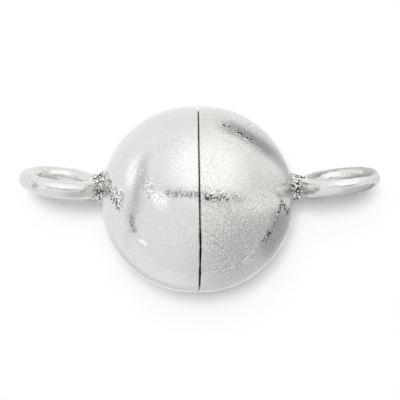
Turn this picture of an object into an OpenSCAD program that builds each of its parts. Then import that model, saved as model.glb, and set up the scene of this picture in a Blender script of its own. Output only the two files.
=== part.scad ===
// Magnetic ball clasp: two silver cups that close to a ball, a disc magnet in each and a soldered ring
// at each end. It lies on a flat surface with its axis along X and its rings standing upright.

/* [Ball] */
// Diameter of the ball
ball_d = 8; // [7.5:0.5:12]
// Straight band between the dome and the rim of each cup
rim_band = 0.1; // [0.06:0.02:0.4]
// Bevel around the outside of each rim
rim_bevel = 0.04; // [0.01:0.01:0.05]
// Gap between the rims of the closed cups
seam_gap = 0.1; // [0.05:0.01:0.25]
// Wall of the dome over the hollow behind the magnet
wall = 0.4; // [0.3:0.05:0.7]

/* [Magnets] */
// Diameter of each disc magnet
magnet_d = 6; // [5:0.25:6.5]
// Thickness of each disc magnet
magnet_t = 1.5; // [1:0.1:1.7]
// Chamfer around both faces of a magnet
magnet_chamfer = 0.12; // [0.05:0.01:0.2]
// Clearance of a magnet in its socket, beside and behind it
magnet_clear = 0.05; // [0.02:0.01:0.1]
// Width of the ledge that each magnet rests on
seat_ledge = 0.4; // [0.2:0.05:0.8]
// How far the face of each magnet is set back from its cup's rim
magnet_inset = 0.05; // [0.02:0.01:0.2]

/* [Rings] */
// Outer diameter of each ring
ring_d = 3.6; // [2.8:0.1:5]
// Diameter of the rings' wire
wire_d = 0.75; // [0.6:0.05:1]
// Angle between the ball's axis and the line on which each ring is soldered
ring_lean = 7.25; // [0:0.25:15]
// Angle that the left ring is turned by, about that line
left_ring_angle = 1.8; // [-10:0.2:10]
// Angle that the right ring is turned by, about that line
right_ring_angle = -1.8; // [-10:0.2:10]
// Distance of the left ring from its dome, negative where the ring is sunk into it
left_ring_off = -0.08; // [-0.2:0.01:0.25]
// Distance of the right ring from its dome
right_ring_off = 0.12; // [-0.2:0.01:0.25]

/* [Solder] */
// Radius of the left solder joint where it meets the dome
left_foot_r = 0.78; // [0.5:0.02:1]
// Radius of the right solder joint where it meets the dome
right_foot_r = 0.68; // [0.5:0.02:1]
// How deep the solder reaches into the dome's wall
solder_depth = 0.2; // [0.1:0.05:0.25]

/* [Hidden] */
$fn = 96;

ball_r = ball_d / 2;
magnet_r = magnet_d / 2;
socket_r = magnet_r + magnet_clear;
wire_r = wire_d / 2;

// Places along the axis, counted outward from the middle of the seam
rim_x = seam_gap / 2;
dome_x = rim_x + rim_band;
face_x = rim_x + magnet_inset;
floor_x = face_x + magnet_t + magnet_clear;

// Steps in the solder's hollow flank, and the share of the wire's radius that it ends in
neck_steps = 6;
neck_share = 0.9;

// Overshoot of a cutting tool past the face that it opens
past = 1;

// Turns what is modelled along Z to lie along X, with the line where its round faces close on top
module along_x() {
    rotate([0, -90, 180]) children();
}

// Stands a piece of the right half at the ball's height
module on_right() {
    translate([0, 0, ball_r]) children();
}

// The same for the left half, which mirrors the right one
module on_left() {
    translate([0, 0, ball_r]) mirror([1, 0, 0]) children();
}

// Dome, straight band and bevelled rim of a cup, without its hollow
module dome() {
    along_x() {
        intersection() {
            translate([0, 0, dome_x]) sphere(r = ball_r);
            translate([0, 0, dome_x]) cylinder(h = ball_r + past, r = ball_r + past);
        }
        translate([0, 0, rim_x + rim_bevel]) cylinder(h = rim_band - rim_bevel, r = ball_r);
        translate([0, 0, rim_x]) cylinder(h = rim_bevel, r1 = ball_r - rim_bevel, r2 = ball_r);
    }
}

// Socket for a magnet, and the hollow behind the ledge that the magnet rests on
module socket() {
    along_x() {
        translate([0, 0, rim_x - past]) cylinder(h = floor_x - rim_x + past, r = socket_r);
        intersection() {
            translate([0, 0, dome_x]) sphere(r = ball_r - wall);
            translate([0, 0, floor_x - magnet_clear]) cylinder(h = ball_r, r = magnet_r - seat_ledge);
        }
    }
}

// Disc magnet with chamfered faces
module magnet() {
    along_x() translate([0, 0, face_x]) rotate_extrude()
        polygon([
            [0, 0],
            [magnet_r - magnet_chamfer, 0],
            [magnet_r, magnet_chamfer],
            [magnet_r, magnet_t - magnet_chamfer],
            [magnet_r - magnet_chamfer, magnet_t],
            [0, magnet_t]
        ]);
}

// Height of the dome above its centre at a radius r from the line on which a ring is soldered
function dome_height(r) = sqrt(ball_r * ball_r - r * r);

// Radius of the solder at a share t of its height, hollow from the foot to the neck
function flank_r(foot_r, t) = foot_r - (foot_r - neck_share * wire_r) * sqrt(1 - (1 - t) * (1 - t));

// Solder around the line of a ring, from inside the dome's wall to the middle of the ring's wire
module solder(ring_off, foot_r) {
    base_x = dome_height(foot_r);
    top_x = ball_r + ring_off + wire_r;
    flank = [for (i = [0 : neck_steps]) let (t = i / neck_steps)
        [flank_r(foot_r, t), base_x + t * (top_x - base_x)]];
    along_x() rotate_extrude()
        polygon(concat([[0, base_x - solder_depth], [foot_r, base_x - solder_depth]], flank, [[0, top_x]]));
}

// Upright round ring of wire, with the dome's centre at the origin
module ring(ring_off, ring_angle) {
    translate([ball_r + ring_off + ring_d / 2, 0, 0]) rotate([90 + ring_angle, 0, 0])
        rotate_extrude() translate([ring_d / 2 - wire_r, 0]) circle(r = wire_r);
}

// Cup with its soldered ring, as one solid
module half(ring_off, ring_angle, foot_r) {
    difference() {
        union() {
            dome();
            translate([dome_x, 0, 0]) rotate([0, 0, ring_lean]) {
                ring(ring_off, ring_angle);
                solder(ring_off, foot_r);
            }
        }
        socket();
    }
}

module left_half() {
    color("gainsboro") on_left() half(left_ring_off, left_ring_angle, left_foot_r);
}

module right_half() {
    color("silver") on_right() half(right_ring_off, right_ring_angle, right_foot_r);
}

module left_magnet() {
    color("slategray") on_left() magnet();
}

module right_magnet() {
    color("dimgray") on_right() magnet();
}

left_half();
right_half();
left_magnet();
right_magnet();
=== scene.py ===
import math

import bmesh
import bpy
from mathutils import Matrix, Vector, noise


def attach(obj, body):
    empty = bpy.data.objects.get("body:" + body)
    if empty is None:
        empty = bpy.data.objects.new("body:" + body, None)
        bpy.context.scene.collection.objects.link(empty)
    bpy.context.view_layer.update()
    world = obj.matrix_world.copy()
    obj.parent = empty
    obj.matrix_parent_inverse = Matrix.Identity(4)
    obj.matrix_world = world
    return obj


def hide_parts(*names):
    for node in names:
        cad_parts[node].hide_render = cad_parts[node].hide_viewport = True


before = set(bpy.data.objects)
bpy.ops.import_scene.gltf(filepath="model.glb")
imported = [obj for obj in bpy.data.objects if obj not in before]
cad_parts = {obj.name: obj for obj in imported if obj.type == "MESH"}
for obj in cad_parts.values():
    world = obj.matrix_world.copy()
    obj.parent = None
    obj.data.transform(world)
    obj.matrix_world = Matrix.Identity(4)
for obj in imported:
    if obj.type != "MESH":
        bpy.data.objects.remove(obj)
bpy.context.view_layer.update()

mm = 0.001
scene = bpy.context.scene


# Sizes are in mm until a mesh is finished. The ball lies on the floor, with its axis along X.
ball = {
    "radius": 4.0,
    "centre": Vector((0, 0, 4.0)),
    "domeX": 0.15,    # how far each half's dome has its centre from the seam
}

# Where the camera stands
view = {
    "tiltFromAbove": math.radians(10.3),    # how far it leans towards the top of the picture
    "frameWidth": 17.16,                    # what the picture's width covers at the ball's middle
    "aimRight": 0.12,                       # the picture's middle, right of the ball's middle and above it
    "aimUp": -0.043,
    "lens": 150.0,
    "sensor": 36.0,
    "nearest": 0.001,                       # in metres, as the farthest is
    "farthest": 10,
}
right = Vector((1, 0, 0))
toCamera = Vector((0, math.sin(view["tiltFromAbove"]), math.cos(view["tiltFromAbove"])))
upInView = Vector((0, math.cos(view["tiltFromAbove"]), -math.sin(view["tiltFromAbove"])))
cameraDistance = view["frameWidth"] * view["lens"] / view["sensor"]
aimPlace = ball["centre"] + right * view["aimRight"] + upInView * view["aimUp"]
cameraPlace = aimPlace + toCamera * cameraDistance


def makeCamera():
    data = bpy.data.cameras.new("camera")
    data.lens = view["lens"]
    data.sensor_width = view["sensor"]
    data.clip_start = view["nearest"]
    data.clip_end = view["farthest"]
    data.dof.use_dof = False
    camera = bpy.data.objects.new("camera", data)
    scene.collection.objects.link(camera)
    turn = Matrix((right, upInView, toCamera)).transposed().to_4x4()
    camera.matrix_world = Matrix.Translation(cameraPlace * mm) @ turn
    scene.camera = camera
    print("camera set")


# A place on the ball is given as it is seen: across and up from the ball's middle, in shares of its radius.
# This gives the place in mm and the direction mirrored there, on one half's dome where the side is -1 or 1.
def seenOnBall(across, up, side=0):
    centre = ball["centre"] + right * (ball["domeX"] * side)
    aim = ball["centre"] + (right * across + upInView * up) * ball["radius"]
    ray = (aim - cameraPlace).normalized()
    middle = cameraPlace - centre
    closest = middle.dot(ray)
    inside = max(closest * closest - middle.length_squared + ball["radius"] ** 2, 0.0)
    point = cameraPlace + ray * (-closest - math.sqrt(inside))
    normal = (point - centre).normalized()
    return point, ray - normal * (2 * ray.dot(normal))


# Where a point in mm is seen, in the same shares
def seenPlace(point):
    off = point - ball["centre"]
    scale = cameraDistance / (cameraDistance - off.dot(toCamera)) / ball["radius"]
    return off.dot(right) * scale, off.dot(upInView) * scale


# Adds a node with its settings, and a value or link for each socket, by name or as i0, i1 and so on
def addNode(tree, kind, settings=None, **sockets):
    made = tree.nodes.new(kind)
    for name, value in (settings or {}).items():
        setattr(made, name, value)
    for name, value in sockets.items():
        numbered = name[0] == "i" and name[1:].isdigit()
        socket = made.inputs[int(name[1:]) if numbered else name]
        if isinstance(value, bpy.types.NodeSocket):
            tree.links.new(value, socket)
        else:
            socket.default_value = value
    return made


def calc(tree, operation, a, b=0.0, c=0.0):
    return addNode(tree, "ShaderNodeMath", {"operation": operation}, i0=a, i1=b, i2=c).outputs[0]


def calcVector(tree, operation, a, b=(0, 0, 0)):
    made = addNode(tree, "ShaderNodeVectorMath", {"operation": operation}, i0=a, i1=b)
    return made.outputs["Value" if operation in ("DOT_PRODUCT", "LENGTH", "DISTANCE") else "Vector"]


def scaled(tree, vector, share):
    return addNode(tree, "ShaderNodeVectorMath", {"operation": "SCALE"}, i0=vector, Scale=share).outputs[0]


# The sum of a times its share and b times its own
def sumOf(tree, a, shareA, b, shareB):
    return calc(tree, "MULTIPLY_ADD", a, shareA, calc(tree, "MULTIPLY", b, shareB))


# A value with part of itself added, or taken away where the amount is below nothing
def grown(tree, value, share, amount):
    return calc(tree, "MULTIPLY_ADD", calc(tree, "MULTIPLY", value, share), amount, value)


def ramp(tree, value, low, high, start=0.0, end=1.0):
    made = addNode(tree, "ShaderNodeMapRange", {"interpolation_type": "SMOOTHSTEP"}, i0=value, i1=low,
                   i2=high, i3=start, i4=end)
    return made.outputs[0]


# One inside an edge and nothing outside it, with a border that is the softness times the edge wide
def within(tree, value, edge, softness):
    return ramp(tree, value, edge * (1 + softness / 2), edge * (1 - softness / 2))


def mixFloat(tree, share, first, second):
    return addNode(tree, "ShaderNodeMix", {"data_type": "FLOAT"}, i0=share, i2=first, i3=second)


# What the silver mirrors, as it shows on the ball: soft patches and arcs, brighter or darker than the tent
tent = {
    "base": 1.13,
    "shareOnCard": 0.85,
    "shareInShade": 0.40,    # how much of the tent lights the floor, which has its own suns
    "behind": 1.25,          # white where the camera sees past the floor
    "patches": [
        # name, middle, half sizes, turn in degrees, softness, brightness
        ("upperGlow", (0.00, 0.32), (0.70, 0.50), 0, 1.2, 1.22),
        ("rightSide", (0.92, 0.03), (0.62, 0.85), 0, 1.0, 1.16),
        ("lowerRight", (0.62, -0.52), (0.74, 0.44), 50, 1.1, 0.79),
        ("rightMiddle", (0.50, -0.02), (0.38, 0.13), -4, 1.2, 1.22),
        ("lowerLeft", (-0.38, -0.22), (0.32, 0.34), 0, 1.3, 1.19),
        ("upperLeft", (-0.49, 0.38), (0.14, 0.26), -28, 1.3, 1.26),
        ("highlight", (0.10, 0.34), (0.34, 0.32), 0, 1.2, 1.62),
        ("bandGlow", (-0.35, 0.005), (0.075, 0.09), 0, 1.0, 1.65),
        ("bandLeft", (-0.13, 0.068), (0.22, 0.045), -3, 1.1, 0.86),
        ("bandRight", (0.22, 0.014), (0.25, 0.043), -2, 0.8, 0.40),
        ("leftStreak", (-0.605, 0.02), (0.05, 0.44), -13, 1.1, 0.84),
        ("leftGlow", (-0.66, 0.27), (0.045, 0.15), -14, 1.0, 1.6),
        ("arcCore", (0.48, 0.69), (0.15, 0.045), -35, 1.1, 0.05),
    ],
    "arcs": [
        # name, centre, radius, half width, from and to in degrees, softness, brightness
        ("upperOut", (-0.10, -0.36), 1.275, 0.09, 8, 68, 1.0, 0.98),
        ("upperFar", (-0.10, -0.36), 1.212, 0.05, 8, 56, 1.2, 0.72),
        ("upperRight", (-0.10, -0.36), 1.194, 0.056, 38, 79, 1.2, 0.49),
        ("lowerRight", (0.0, 0.0), 0.875, 0.10, -48, -1, 1.0, 0.52),
        ("lowerLimb", (0.0, 0.0), 1.0, 0.05, 185, 340, 1.1, 0.84),
    ],
    "arcFull": 0.45,         # the share of an arc's length that has its whole strength
}


# Gives how bright the tent is where it is mirrored at a place on the ball, by how far across and up that is
def glowNodes(tree, across, up):
    light = tent["base"]

    def lay(name, share, brightness):
        mixed = mixFloat(tree, share, light, brightness)
        mixed.label = name
        return mixed.outputs[0]

    def offFrom(middle):
        return calc(tree, "SUBTRACT", across, middle[0]), calc(tree, "SUBTRACT", up, middle[1])

    def distance(x, y):
        return calc(tree, "SQRT", calc(tree, "MULTIPLY_ADD", x, x, calc(tree, "MULTIPLY", y, y)))

    for name, middle, (halfWide, halfHigh), turn, softness, brightness in tent["patches"]:
        cosine = math.cos(math.radians(turn))
        sine = math.sin(math.radians(turn))
        x, y = offFrom(middle)
        shareWide = sumOf(tree, x, cosine / halfWide, y, sine / halfWide)
        shareHigh = sumOf(tree, x, -sine / halfHigh, y, cosine / halfHigh)
        light = lay(name, within(tree, distance(shareWide, shareHigh), 1, softness), brightness)
    for name, centre, radius, halfWide, low, high, softness, brightness in tent["arcs"]:
        x, y = offFrom(centre)
        off = calc(tree, "ABSOLUTE", calc(tree, "SUBTRACT", distance(x, y), radius))
        turn = calc(tree, "ARCTAN2", y, x)
        if high > 180:
            turn = calc(tree, "WRAP", turn, math.tau)
        aimed = math.radians((low + high) / 2)
        reach = math.radians((high - low) / 2)
        away = calc(tree, "ABSOLUTE", calc(tree, "SUBTRACT", turn, aimed))
        fade = ramp(tree, away, reach, reach * tent["arcFull"])
        light = lay(name, calc(tree, "MULTIPLY", within(tree, off, halfWide, softness), fade), brightness)
    return light


# The world is the tent. A direction is mirrored where the ball faces halfway between it and the camera, and
# the nearness puts right how far across that is for a camera that stands near.
def makeWorld():
    world = bpy.data.worlds.new("tent")
    scene.world = world
    world.use_nodes = True
    tree = world.node_tree
    tree.nodes.clear()
    direction = addNode(tree, "ShaderNodeTexCoord").outputs["Generated"]
    nearness = ball["radius"] / cameraDistance
    length = calcVector(tree, "LENGTH", calcVector(tree, "ADD", direction, toCamera))
    scale = calc(tree, "DIVIDE", calc(tree, "MULTIPLY_ADD", length, nearness / 2, 1.0),
                 calc(tree, "ADD", length, nearness))
    across = calc(tree, "MULTIPLY", calcVector(tree, "DOT_PRODUCT", direction, right), scale)
    up = calc(tree, "MULTIPLY", calcVector(tree, "DOT_PRODUCT", direction, upInView), scale)
    light = glowNodes(tree, across, up)
    path = addNode(tree, "ShaderNodeLightPath")
    shaded = mixFloat(tree, path.outputs["Is Diffuse Ray"], light, tent["shareInShade"])
    seen = mixFloat(tree, path.outputs["Is Camera Ray"], shaded.outputs[0], tent["behind"])
    back = addNode(tree, "ShaderNodeBackground", Strength=seen.outputs[0])
    out = addNode(tree, "ShaderNodeOutputWorld")
    tree.links.new(back.outputs[0], out.inputs["Surface"])
    print("tent of light made,", len(tent["patches"]) + len(tent["arcs"]), "marks")


# How near points are joined, in mm, and from which angle an edge stays sharp
joined = {"within": 1e-5, "sharpFrom": math.radians(32)}


# Makes a finished mesh, in mm till here, an object at the origin
def makeObject(bm, name, material):
    bmesh.ops.transform(bm, matrix=Matrix.Scale(mm, 4), verts=bm.verts)
    mesh = bpy.data.meshes.new(name)
    bm.to_mesh(mesh)
    bm.free()
    mesh.materials.append(material)
    made = bpy.data.objects.new(name, mesh)
    scene.collection.objects.link(made)
    return made


# The floor, and the suns that cast the soft shadows towards the bottom of the picture
ground = {
    "size": 160.0,
    "colour": (0.9, 0.9, 0.9, 1),
    # for each sun, how many degrees it leans towards the top of the picture, how wide it is and how strong
    "suns": [(15.8, 12, 1.92), (19, 32, 0.62)],
    "towardsLeft": 2.4,
}


def makeFloor():
    paper = bpy.data.materials.new("floorPaper")
    paper.use_nodes = True
    shader = paper.node_tree.nodes["Principled BSDF"]
    shader.inputs["Base Color"].default_value = ground["colour"]
    shader.inputs["Roughness"].default_value = 1.0
    shader.inputs["Specular IOR Level"].default_value = 0.0
    bm = bmesh.new()
    bmesh.ops.create_grid(bm, x_segments=1, y_segments=1, size=ground["size"] / 2)
    floor = makeObject(bm, "floor", paper)
    print("floor laid")


# The silver doesn't mirror the suns, which are there for the floor
def makeSuns():
    for fromAbove, width, strength in ground["suns"]:
        data = bpy.data.lights.new("sun", "SUN")
        data.energy = strength
        data.angle = math.radians(width)
        sun = bpy.data.objects.new("sun", data)
        sun.rotation_euler = (math.radians(-fromAbove), math.radians(-ground["towardsLeft"]), 0)
        sun.visible_glossy = False
        scene.collection.objects.link(sun)
    print("suns hung,", len(ground["suns"]))


# A card laid on the floor, seen by the silver alone, carries on there what the tent shows above the horizon:
# its brighter and darker patches are painted reflections, tinting what the silver mirrors of the floor
card = {
    "turnSteps": 180,
    "rows": 60,
    "inner": 0.62,       # where on the ball the card starts and ends, in shares of its radius
    "outer": 0.99,
    "farthest": 75.0,
    "height": 0.03,
    "horizon": -0.02,    # a mirrored direction that rises more than this misses the card
}


def makeCardPaintedReflection():
    tint = bpy.data.materials.new("cardPaintedReflection")
    tint.use_nodes = True
    tree = tint.node_tree
    tree.nodes.clear()
    seen = addNode(tree, "ShaderNodeAttribute", {"attribute_name": "mirrorPlace"}).outputs["Vector"]
    parts = addNode(tree, "ShaderNodeSeparateXYZ", i0=seen)
    light = glowNodes(tree, parts.outputs["X"], parts.outputs["Y"])
    colour = addNode(tree, "ShaderNodeCombineXYZ", i0=light, i1=light, i2=light).outputs[0]
    # the tint paints the tent's patches into the floor's reflection
    clear = addNode(tree, "ShaderNodeBsdfTransparent", i0=scaled(tree, colour, tent["shareOnCard"]))
    out = addNode(tree, "ShaderNodeOutputMaterial")
    tree.links.new(clear.outputs[0], out.inputs["Surface"])
    return tint


def makeCard():
    bm = bmesh.new()
    bmesh.ops.create_grid(bm, x_segments=card["turnSteps"], y_segments=card["rows"], size=1)
    place = bm.verts.layers.float_vector.new("mirrorPlace")
    missed = []
    for vert in bm.verts:
        turn = math.pi * vert.co.x
        reach = card["inner"] + (card["outer"] - card["inner"]) * (vert.co.y + 1) / 2
        across = reach * math.cos(turn)
        up = reach * math.sin(turn)
        point, mirrored = seenOnBall(across, up)
        if mirrored.z > card["horizon"]:
            missed.append(vert)
            continue
        vert.co = point - mirrored * ((point.z - card["height"]) / mirrored.z)
        vert[place] = (across, up, 0)
        if vert.co.length > card["farthest"]:
            missed.append(vert)
    bmesh.ops.delete(bm, geom=missed, context="VERTS")
    bmesh.ops.remove_doubles(bm, verts=bm.verts, dist=joined["within"])
    piece = makeObject(bm, "card", makeCardPaintedReflection())
    piece.visible_camera = False
    piece.visible_diffuse = False
    piece.visible_shadow = False
    print("card laid,", len(piece.data.polygons), "faces")


# How the finishes are patterned. Edges are the heights of a noise between which a change sets in.
pattern = {
    "speckSize": 0.1,
    "grainRoughness": 0.55,
    "middle": 0.5,
    "patchEdges": (0.35, 0.65),    # where the grain goes from its least to its whole strength
    "roughEdges": (0.3, 0.7),      # where the roughness goes from low to high
    "speckEdges": (0.41, 0.53),    # where solder goes from dark to bright
    "speckBright": 1.5,
    "markSoftness": 1.2,
    "pitEdges": (0.40, 0.60),
    "pitTones": (-0.8, 0.5),       # what pits take from the tone and what they add to it
    "fineEdges": (0.35, 0.65),
    "fineSwing": 0.4,              # how much the strongest fine mark takes and adds
    "darkEdges": (0.46, 0.58),
    "darkGrain": 0.8,              # how much grain a dark mark adds
    "paintedShadeAndSpotsTake": 0.9,            # how much of the tone the whole painted shade and dark spots take
}

# How bright each finish is, its tint, how wide its patches, grain and fine tones are in mm, how deep the
# grain is in mm, how much of it the smooth patches keep, the roughness, how strong the fine tones are, how
# dark the specks are, and which half's dome the marks are on
finishes = {
    "leftSilver": {
        "colour": 0.75, "tint": (1, 1, 0.98, 1), "patchSize": 1.6, "grainSize": 0.09, "grainDepth": 0.010,
        "grainLeast": 0.3, "roughLow": 0.07, "roughHigh": 0.13, "fineSize": 0.08, "fineTone": 0.45,
        "side": -1,
    },
    "rightSilver": {
        "colour": 0.72, "tint": (1, 1, 0.973, 1), "patchSize": 1.4, "grainSize": 0.085, "grainDepth": 0.016,
        "grainLeast": 0.45, "roughLow": 0.06, "roughHigh": 0.11, "fineSize": 0.075, "fineTone": 1.3,
        "side": 1,
    },
    "ringSilver": {
        "colour": 0.745, "tint": (1, 1, 0.98, 1), "patchSize": 0.7, "grainSize": 0.16, "grainDepth": 0.012,
        "grainLeast": 0.2, "roughLow": 0.05, "roughHigh": 0.10, "fineSize": 0.08, "fineTone": 0.3,
    },
    "solderSilver": {
        "colour": 1.0, "tint": (1, 1, 0.98, 1), "patchSize": 0.5, "grainSize": 0.12, "grainDepth": 0.14,
        "grainLeast": 0.8, "roughLow": 0.05, "roughHigh": 0.12, "fineSize": 0.10, "fineTone": 1.5,
        "speckDark": 0.06,
    },
    "nickelPlate": {
        "colour": 0.68, "tint": (1, 0.97, 0.91, 1), "patchSize": 1.5, "grainSize": 0.12, "grainDepth": 0.004,
        "grainLeast": 0.3, "roughLow": 0.1, "roughHigh": 0.18, "fineSize": 0.1, "fineTone": 0.1,
    },
}

# Marks on the domes: kind, where they start and end as seen on the ball, half width in mm, and how strong.
# Pits are rough, with dark and bright specks, and fine marks have such specks alone. Dark marks are painted
# dark reflections, which the specks break up. Tone brightens or darkens: here a painted highlight and a
# painted dark reflection. Smooth takes grain away, and a scratch is a sunk line.
marks = {
    "leftSilver": [
        ("pits", (-0.94, 0.10), (-0.84, 0.03), 0.24, 9.0),
        ("pits", (-0.90, -0.01), (-0.85, -0.07), 0.20, 9.0),
        # the dark and tone marks here paint dark reflections and one highlight into the colour
        ("dark", (-0.975, 0.33), (-0.93, 0.17), 0.12, 0.8),
        ("fine", (-0.66, -0.28), (-0.60, -0.46), 0.05, 0.5),
        ("fine", (-0.53, 0.19), (-0.49, 0.03), 0.20, 0.8),
        ("fine", (-0.40, 0.02), (-0.40, 0.0), 0.18, 1.0),
        ("dark", (-0.31, 0.06), (0.0, 0.05), 0.15, 0.5),
        ("tone", (-0.705, -0.20), (-0.67, -0.34), 0.13, -0.3),
        ("dark", (-0.73, -0.22), (-0.69, -0.34), 0.09, 0.6),
        ("tone", (-0.61, -0.44), (-0.56, -0.48), 0.09, 0.33),
        ("dark", (-0.58, 0.35), (-0.62, 0.02), 0.06, 0.25),
    ],
    "rightSilver": [
        # the dark marks here are painted dark reflections: the band, the arc high up and the lower right edge
        ("dark", (0.03, 0.02), (0.34, 0.01), 0.17, 0.95),
        ("dark", (0.34, 0.01), (0.46, 0.00), 0.14, 0.5),
        ("smooth", (0.25, 0.42), (0.48, 0.28), 1.25, 0.55),
        ("dark", (0.27, 0.80), (0.43, 0.73), 0.10, 0.85),
        ("dark", (0.43, 0.73), (0.58, 0.62), 0.13, 0.9),
        ("dark", (0.58, 0.62), (0.69, 0.54), 0.07, 0.7),
        ("dark", (0.90, -0.03), (0.975, -0.15), 0.11, 1.0),
        ("dark", (0.975, -0.15), (1.01, -0.06), 0.12, 1.0),
        ("dark", (0.90, -0.03), (0.85, -0.22), 0.10, 1.0),
        ("dark", (0.85, -0.22), (0.74, -0.44), 0.09, 0.85),
        ("dark", (0.76, -0.36), (0.71, -0.46), 0.15, 0.65),
        ("fine", (0.28, -0.76), (0.60, -0.60), 0.30, 0.5),
        ("scratch", (0.08, -0.34), (0.20, -0.41), 0.02, 0.35),
        ("scratch", (0.19, -0.41), (0.19, -0.47), 0.02, 0.35),
        ("scratch", (0.19, -0.47), (0.28, -0.53), 0.022, 0.45),
        ("scratch", (0.17, 0.45), (0.155, 0.39), 0.02, 0.2),
        ("scratch", (0.105, 0.90), (0.11, 0.905), 0.03, 0.3),
    ],
}


def noiseNode(tree, at, size, detail=2.0, roughness=0.5):
    made = addNode(tree, "ShaderNodeTexNoise", Vector=at, Scale=1 / size, Detail=detail, Roughness=roughness)
    return made.outputs[0]


# How near a place is to a straight line: one on the line, and nothing well outside its width
def nearLine(tree, at, start, end, width):
    run = end - start
    offset = calcVector(tree, "SUBTRACT", at, start)
    share = addNode(tree, "ShaderNodeMath", {"operation": "DIVIDE", "use_clamp": True},
                    i0=calcVector(tree, "DOT_PRODUCT", offset, run), i1=run.length_squared).outputs[0]
    away = calcVector(tree, "DISTANCE", offset, scaled(tree, run, share))
    return within(tree, away, width, pattern["markSoftness"])


# Changes the tone and the strength of the grain where the marks of that name are, and gives the height of
# the scratches too
def layMarks(tree, at, specks, name, tone, strength):
    height = 0.0
    for kind, start, end, width, amount in marks.get(name, ()):
        first = seenOnBall(*start, finishes[name]["side"])[0]
        last = seenOnBall(*end, finishes[name]["side"])[0]
        near = nearLine(tree, at, first, last, width)
        if kind == "pits":
            spotted = ramp(tree, specks, *pattern["pitEdges"], *pattern["pitTones"])
            tone = calc(tree, "MULTIPLY_ADD", tone, calc(tree, "MULTIPLY", near, spotted), tone)
            strength = calc(tree, "MULTIPLY_ADD", near, amount, strength)
        elif kind == "fine":
            swing = pattern["fineSwing"] * amount
            spotted = ramp(tree, specks, *pattern["fineEdges"], -swing, swing)
            tone = calc(tree, "MULTIPLY_ADD", tone, calc(tree, "MULTIPLY", near, spotted), tone)
        # dark marks paint dark reflections into the colour
        elif kind == "dark":
            spotted = ramp(tree, specks, *pattern["darkEdges"])
            tone = grown(tree, tone, calc(tree, "MULTIPLY", near, spotted), -amount)
            strength = calc(tree, "MULTIPLY_ADD", near, pattern["darkGrain"], strength)
        # tone marks paint highlights and dark reflections into the colour
        elif kind == "tone":
            tone = grown(tree, tone, near, amount)
        elif kind == "smooth":
            kept = calc(tree, "MULTIPLY_ADD", near, -amount, 1.0)
            tone = calc(tree, "MULTIPLY_ADD", calc(tree, "SUBTRACT", tone, 1.0), kept, 1.0)
            strength = calc(tree, "MULTIPLY", strength, kept)
        elif kind == "scratch":
            tone = grown(tree, tone, near, -amount)
            height = calc(tree, "MULTIPLY_ADD", near, -amount, height)
    return tone, strength, height


# Silver or nickel, with the marks of that name. Its tone is how bright it is, as a share of its colour.
def silver(name):
    look = finishes[name]
    made = bpy.data.materials.new(name)
    made.use_nodes = True
    tree = made.node_tree
    shader = tree.nodes["Principled BSDF"]
    shader.inputs["Metallic"].default_value = 1.0
    at = scaled(tree, addNode(tree, "ShaderNodeTexCoord").outputs["Object"], 1 / mm)
    patches = noiseNode(tree, at, look["patchSize"])
    grain = noiseNode(tree, at, look["grainSize"], roughness=pattern["grainRoughness"])
    fine = noiseNode(tree, at, look["fineSize"], detail=1.0)
    specks = noiseNode(tree, at, pattern["speckSize"])
    strength = ramp(tree, patches, *pattern["patchEdges"], look["grainLeast"], 1.0)
    uneven = calc(tree, "MULTIPLY", strength, look["fineTone"])
    tone = calc(tree, "MULTIPLY_ADD", calc(tree, "SUBTRACT", fine, pattern["middle"]), uneven, 1.0)
    if "speckDark" in look:
        spotted = ramp(tree, specks, *pattern["speckEdges"], look["speckDark"], pattern["speckBright"])
        tone = calc(tree, "MULTIPLY", tone, spotted)
    tone, strength, height = layMarks(tree, at, specks, name, tone, strength)
    rise = calc(tree, "MULTIPLY_ADD", grain, strength, height)
    bump = addNode(tree, "ShaderNodeBump", Strength=1.0, Distance=look["grainDepth"] * mm, Height=rise)
    tree.links.new(bump.outputs[0], shader.inputs["Normal"])
    rough = ramp(tree, patches, *pattern["roughEdges"], look["roughLow"], look["roughHigh"])
    tree.links.new(rough, shader.inputs["Roughness"])
    # painted shade in the seam's groove and the cup's inside, and the solder's darker spots, darken the
    # colour
    paintedShadeAndSpots = addNode(tree, "ShaderNodeAttribute", {"attribute_name": "paintedShadeAndSpots"}).outputs["Fac"]
    tone = grown(tree, tone, paintedShadeAndSpots, -pattern["paintedShadeAndSpotsTake"])
    colour = addNode(tree, "ShaderNodeMix", {"data_type": "RGBA"}, i6=(0, 0, 0, 1), i7=look["tint"],
                     i0=calc(tree, "MULTIPLY", tone, look["colour"]))
    tree.links.new(colour.outputs[2], shader.inputs["Base Color"])
    print("material", name, "with", len(marks.get(name, ())), "marks")
    return made


def finishPiece(bm, name, body, slot, material, *replaced):
    bmesh.ops.remove_doubles(bm, verts=bm.verts, dist=joined["within"])
    bmesh.ops.recalc_face_normals(bm, faces=bm.faces)
    for face in bm.faces:
        face.smooth = True
    for edge in bm.edges:
        if len(edge.link_faces) == 2 and edge.calc_face_angle(0) > joined["sharpFrom"]:
            edge.smooth = False
    piece = makeObject(bm, name, material)
    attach(piece, body)
    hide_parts(*replaced)
    print("made", name, len(piece.data.polygons), "faces")


# Turns a profile about the ball's axis
def turnProfile(bm, steps):
    bmesh.ops.spin(bm, geom=bm.verts[:] + bm.edges[:], cent=(0, 0, 0), axis=(1, 0, 0), angle=math.tau,
                   steps=steps, use_merge=True)


# Draws a profile on from its last point, straight to each corner in turn
def drawOn(bm, last, corners):
    for x, r in corners:
        corner = bm.verts.new((x, r, 0))
        bm.edges.new((last, corner))
        last = corner
    return last


# Smooth noise of that size at a place, from -1 to 1. Each piece starts elsewhere in the noise.
def waveAt(place, size, start):
    return noise.noise(place / size + Vector(start))


# Lifts what is modelled along X to the ball's height, and mirrors it for the left half
def onSide(side):
    return Matrix.Translation(ball["centre"]) @ Matrix.Diagonal((side, 1, 1, 1))


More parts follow.
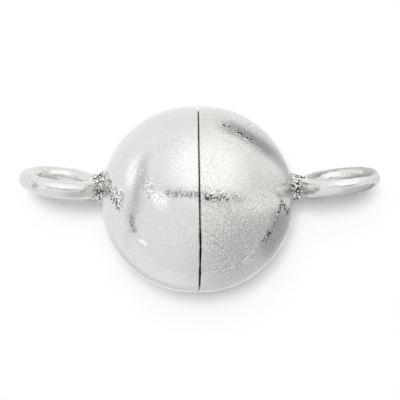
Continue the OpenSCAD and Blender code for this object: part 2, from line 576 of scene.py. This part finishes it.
# Each cup is a profile of its wall, turned about the ball's axis
cup = {
    "rimX": 0.05,
    "rimBevel": 0.04,
    "lipX": 0.008,          # inside the rim a lip stands out further and nearly closes the seam
    "lipRadius": 3.76,
    "lipSlope": 0.04,
    "lipBand": 0.06,
    "socketRadius": 3.05,
    "socketFloorX": 1.65,
    "ledgeRadius": 2.6,
    "hollowRadius": 3.6,
    "arcSteps": 96,
    "hollowSteps": 16,
    "turnSteps": 320,
    "skin": 0.1,            # what is this near to the ball's surface is its outside
    "within": 0.01,         # how exactly points are told apart by their radius and depth
    "waves": 0.006,
    "waveSize": 1.1,
    "wavesFrom": {-1: (-7.3, 1.7, 4.1), 1: (7.3, 1.7, 4.1)},
    # painted shade: how dark the seam's groove between the halves is painted, and how much darker the cup's
    # inside is
    "groovePaintedShade": 1.0,
    "insideDarker": 0.15,
    # how far the seam strays to the right, and how far the halves stand open there, by how far up it is seen
    "seamStrays": [(-1.0, 0.065), (-0.9, 0.11), (-0.5, 0.14), (0.0, 0.105), (1.0, 0.045)],
    "seamOpens": [(-1.0, -0.04), (-0.85, -0.03), (-0.76, -0.015), (-0.68, -0.04), (-0.60, -0.02),
                  (-0.54, -0.02), (-0.495, -0.055), (-0.46, -0.02), (-0.38, -0.02), (-0.30, -0.045),
                  (1.0, -0.055)],
    "seamReach": 0.5,       # where along the cup the straying has faded out
    "seamFade": 4,          # how fast it fades out down the ball's sides
}


# Reads an amount from a table of places and amounts, in a straight line from each to the next
def along(table, value):
    for (low, first), (high, second) in zip(table, table[1:]):
        if value <= high:
            return first + (second - first) * max(0.0, (value - low) / (high - low))
    return table[-1][1]


def cupProfile(bm):
    centre = (ball["domeX"], 0, 0)
    equator = bm.verts.new((ball["domeX"], ball["radius"], 0))
    bmesh.ops.spin(bm, geom=[equator], cent=centre, axis=(0, 0, 1), angle=-math.pi / 2, steps=cup["arcSteps"])
    hollowHeight = math.sqrt(cup["hollowRadius"] ** 2 - cup["ledgeRadius"] ** 2)
    last = drawOn(bm, equator, [
        (cup["rimX"] + cup["rimBevel"], ball["radius"]),
        (cup["rimX"], ball["radius"] - cup["rimBevel"]),
        (cup["rimX"], cup["lipRadius"] + cup["lipSlope"]),
        (cup["lipX"], cup["lipRadius"]),
        (cup["lipX"], cup["lipRadius"] - cup["lipBand"]),
        (cup["lipX"], cup["socketRadius"]),
        (cup["socketFloorX"], cup["socketRadius"]),
        (cup["socketFloorX"], cup["ledgeRadius"]),
        (ball["domeX"] + hollowHeight, cup["ledgeRadius"]),
    ])
    hollowTurn = math.atan2(cup["ledgeRadius"], hollowHeight)
    bmesh.ops.spin(bm, geom=[last], cent=centre, axis=(0, 0, 1), angle=-hollowTurn, steps=cup["hollowSteps"])


def cupShape(side):
    bm = bmesh.new()
    cupProfile(bm)
    turnProfile(bm, cup["turnSteps"])
    paintedShadeAndSpots = bm.verts.layers.float.new("paintedShadeAndSpots")
    for vert in bm.verts:
        out = vert.co - Vector((ball["domeX"], 0, 0))
        around = Vector((0, vert.co.y, vert.co.z))
        if vert.co.x >= cup["rimX"] and out.length > ball["radius"] - cup["skin"]:
            wave = waveAt(vert.co, cup["waveSize"], cup["wavesFrom"][side])
            vert.co += out.normalized() * wave * cup["waves"]
        elif vert.co.x < cup["socketFloorX"] + cup["within"]:
            # the seam's groove is painted dark as painted shade, and the rest of the inside a little darker
            groove = around.length > cup["lipRadius"] - cup["within"]
            vert[paintedShadeAndSpots] = cup["groovePaintedShade"] if groove else cup["insideDarker"]
        if vert.co.x < cup["seamReach"] and around.length > cup["socketRadius"] - cup["within"]:
            outward = around.normalized()
            shown = min(max(outward.dot(toCamera) * cup["seamFade"], 0.0), 1.0)
            fade = 1 - max(0.0, vert.co.x - ball["domeX"]) / (cup["seamReach"] - ball["domeX"])
            strays = along(cup["seamStrays"], outward.dot(upInView)) * side
            if around.length > cup["lipRadius"] + cup["within"]:
                strays += along(cup["seamOpens"], outward.dot(upInView)) / 2
            vert.co.x += shown * fade * strays
    bmesh.ops.transform(bm, matrix=onSide(side), verts=bm.verts)
    return bm


# Each ring is a round wire, turned about the ring's own axis
rings = {
    "lean": math.radians(7.25),
    "outerDiameter": 3.6,
    "wire": 0.75,
    "wireSteps": 40,
    "turnSteps": 240,
    "waves": 0.022,
    "waveSize": 0.42,
    "ripples": 0.007,
    "rippleSize": 0.13,
    "left": {"angle": math.radians(1.8), "offset": -0.08, "wavesFrom": (-3.7, 0, -9.2),
             "ripplesFrom": (0, -4.1, 0)},
    "right": {"angle": math.radians(-1.8), "offset": 0.12, "wavesFrom": (3.7, 0, 9.2),
              "ripplesFrom": (0, 4.1, 0)},
}


# The leaning line on which a ring is soldered, from the middle of its dome
def alongRing(side):
    leaned = Matrix.Translation((ball["domeX"], 0, 0)) @ Matrix.Rotation(rings["lean"], 4, "Z")
    return onSide(side) @ leaned


def ringShape(side, own):
    bm = bmesh.new()
    wire = rings["wire"] / 2
    middle = rings["outerDiameter"] / 2 - wire
    bmesh.ops.create_circle(bm, segments=rings["wireSteps"], radius=wire)
    place = Matrix.Translation((middle, 0, 0)) @ Matrix.Rotation(math.pi / 2, 4, "X")
    bmesh.ops.transform(bm, matrix=place, verts=bm.verts)
    bmesh.ops.spin(bm, geom=bm.verts[:] + bm.edges[:], cent=(0, 0, 0), axis=(0, 0, 1), angle=math.tau,
                   steps=rings["turnSteps"], use_merge=True)
    for vert in bm.verts:
        core = Vector((vert.co.x, vert.co.y, 0)).normalized() * middle
        wave = waveAt(vert.co, rings["waveSize"], own["wavesFrom"]) * rings["waves"]
        wave += waveAt(vert.co, rings["rippleSize"], own["ripplesFrom"]) * rings["ripples"]
        vert.co += (vert.co - core).normalized() * wave
    reach = ball["radius"] + own["offset"] + rings["outerDiameter"] / 2
    turned = Matrix.Translation((reach, 0, 0)) @ Matrix.Rotation(math.pi / 2 + own["angle"], 4, "X")
    bmesh.ops.transform(bm, matrix=alongRing(side) @ turned, verts=bm.verts)
    return bm


# Each solder joint is a lumpy collar between the dome and the ring
solders = {
    "turnSteps": 200,
    "rows": 60,
    "capRows": 14,
    "sunk": 0.1,        # how deep its foot is sunk into the dome
    "still": 0.05,      # what is this near to its axis isn't lumpy
    "lean": 0.5,        # how far the lumps lean towards the ring
    "ridge": 0.5,       # how far the beads' ridges stand out, and how steeply they fall on both sides
    "ridgeFall": 2,
    "spotEdge": 1.5,    # where a spot ends, in shares of how wide it is
    # spots painted darker: how far across and up each is seen, how wide it is and how dark
    "left": {
        "foot": 0.86, "neck": 0.50, "cap": 0.22,
        "lumps": 0.12, "lumpSize": 0.26, "lumpsFrom": (-3.1, 0, 0),
        "beads": 0.08, "beadSize": 0.15, "beadsFrom": (0, -5.7, 0),
        "spots": [((-1.016, 0.235), 0.035, 0.4), ((-1.02, 0.02), 0.04, 0.5)],
    },
    "right": {
        "foot": 0.72, "neck": 0.42, "cap": 0.16,
        "lumps": 0.08, "lumpSize": 0.30, "lumpsFrom": (3.1, 0, 0),
        "beads": 0.06, "beadSize": 0.17, "beadsFrom": (0, 5.7, 0),
        "spots": [((1.05, 0.09), 0.045, 0.5), ((1.11, 0.13), 0.03, 0.5), ((1.075, 0.25), 0.035, 0.6)],
    },
}


def solderProfile(bm, own, topX):
    foot = own["foot"]
    neck = own["neck"]
    baseX = math.sqrt(ball["radius"] ** 2 - foot ** 2)
    corners = [(baseX - solders["sunk"], foot)]
    for row in range(1, solders["rows"] + 1):
        share = row / solders["rows"]
        flank = foot - (foot - neck) * math.sqrt(1 - (1 - share) ** 2)
        corners.append((baseX + share * (topX - baseX), flank))
    for row in range(1, solders["capRows"] + 1):
        turn = math.pi / 2 * row / solders["capRows"]
        corners.append((topX + own["cap"] * math.sin(turn), neck * math.cos(turn)))
    drawOn(bm, bm.verts.new((baseX - solders["sunk"], 0, 0)), corners)


def solderShape(side, own, ownRing):
    bm = bmesh.new()
    solderProfile(bm, own, ball["radius"] + ownRing["offset"] + rings["wire"] / 2)
    turnProfile(bm, solders["turnSteps"])
    for vert in bm.verts:
        out = Vector((0, vert.co.y, vert.co.z))
        if out.length > solders["still"]:
            lump = waveAt(vert.co, own["lumpSize"], own["lumpsFrom"])
            bead = waveAt(vert.co, own["beadSize"], own["beadsFrom"])
            bead = solders["ridge"] - abs(bead) * solders["ridgeFall"]
            outward = (out.normalized() + Vector((solders["lean"], 0, 0))).normalized()
            vert.co += outward * (lump * own["lumps"] + bead * own["beads"])
    bmesh.ops.transform(bm, matrix=alongRing(side), verts=bm.verts)
    # spots are painted darker on the solder, where they are seen
    paintedShadeAndSpots = bm.verts.layers.float.new("paintedShadeAndSpots")
    for vert in bm.verts:
        across, up = seenPlace(vert.co)
        for (spotAcross, spotUp), wide, dark in own["spots"]:
            share = solders["spotEdge"] - math.hypot(across - spotAcross, up - spotUp) / wide
            vert[paintedShadeAndSpots] = max(vert[paintedShadeAndSpots], dark * min(max(share, 0.0), 1.0))
    return bm


# Each magnet is a disc with rounded edges
magnet = {
    "radius": 3.0,
    "thickness": 1.5,
    "faceX": 0.1,
    "rounding": 0.12,
    "roundingSteps": 4,
    "turnSteps": 192,
    "cornerFrom": math.radians(60),
}


def magnetShape(side):
    bm = bmesh.new()
    bmesh.ops.create_cone(bm, cap_ends=True, segments=magnet["turnSteps"], radius1=magnet["radius"],
                          radius2=magnet["radius"], depth=magnet["thickness"])
    corners = [edge for edge in bm.edges if edge.calc_face_angle(0) > magnet["cornerFrom"]]
    bmesh.ops.bevel(bm, geom=corners, offset=magnet["rounding"], affect="EDGES",
                    segments=magnet["roundingSteps"], profile=0.5, material=-1)
    middle = magnet["faceX"] + magnet["thickness"] / 2
    lay = Matrix.Translation((middle, 0, 0)) @ Matrix.Rotation(math.pi / 2, 4, "Y")
    bmesh.ops.transform(bm, matrix=onSide(side) @ lay, verts=bm.verts)
    return bm


makeCamera()
makeWorld()
makeFloor()
makeSuns()
makeCard()
metals = {name: silver(name) for name in finishes}
for side, word, slot in ((-1, "left", "satin_silver"), (1, "right", "brushed_silver")):
    half = word + "_half"
    finishPiece(cupShape(side), word + "Cup", word, slot, metals[word + "Silver"], half)
    finishPiece(ringShape(side, rings[word]), word + "Ring", word, slot, metals["ringSilver"], half)
    solder = solderShape(side, solders[word], rings[word])
    finishPiece(solder, word + "Solder", word, slot, metals["solderSilver"], half)
    finishPiece(magnetShape(side), word + "Magnet", word, "nickel", metals["nickelPlate"], word + "_magnet")

scene.view_settings.view_transform = "Standard"
